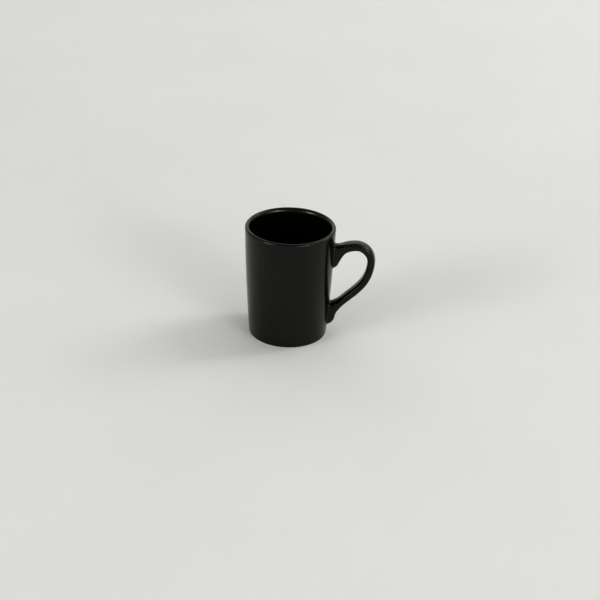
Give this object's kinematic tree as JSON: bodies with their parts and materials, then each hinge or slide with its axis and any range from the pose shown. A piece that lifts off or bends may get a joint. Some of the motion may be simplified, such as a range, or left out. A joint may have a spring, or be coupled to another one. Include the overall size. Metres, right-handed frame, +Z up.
{
  "type": "mug",
  "caption": "Straight-sided, slightly tapered ceramic mug with a looped strap handle, black glaze inside and out, and a bare clay foot ring.",
  "frame": {"origin": "centre of the foot ring, on the surface that the mug stands on", "axes": "+Z up through the mouth, +X from the cup's axis towards the handle, +Y to the handle's left side when seen from outside"},
  "size_m": [0.116, 0.08, 0.104],
  "materials": {
    "fired_clay": "bare fired stoneware, dry and matte, warm off-white",
    "slip": "fired joining slip, matte",
    "black_glaze": "satin black glaze"
  },
  "bodies": {
    "root": {"cup_body": "fired_clay", "handle": "fired_clay", "upper_slip_joint": "slip", "lower_slip_joint": "slip", "outer_glaze": "black_glaze", "liner_glaze": "black_glaze", "handle_glaze": "black_glaze", "underside_glaze": "black_glaze"}
  },
  "joints": []
}
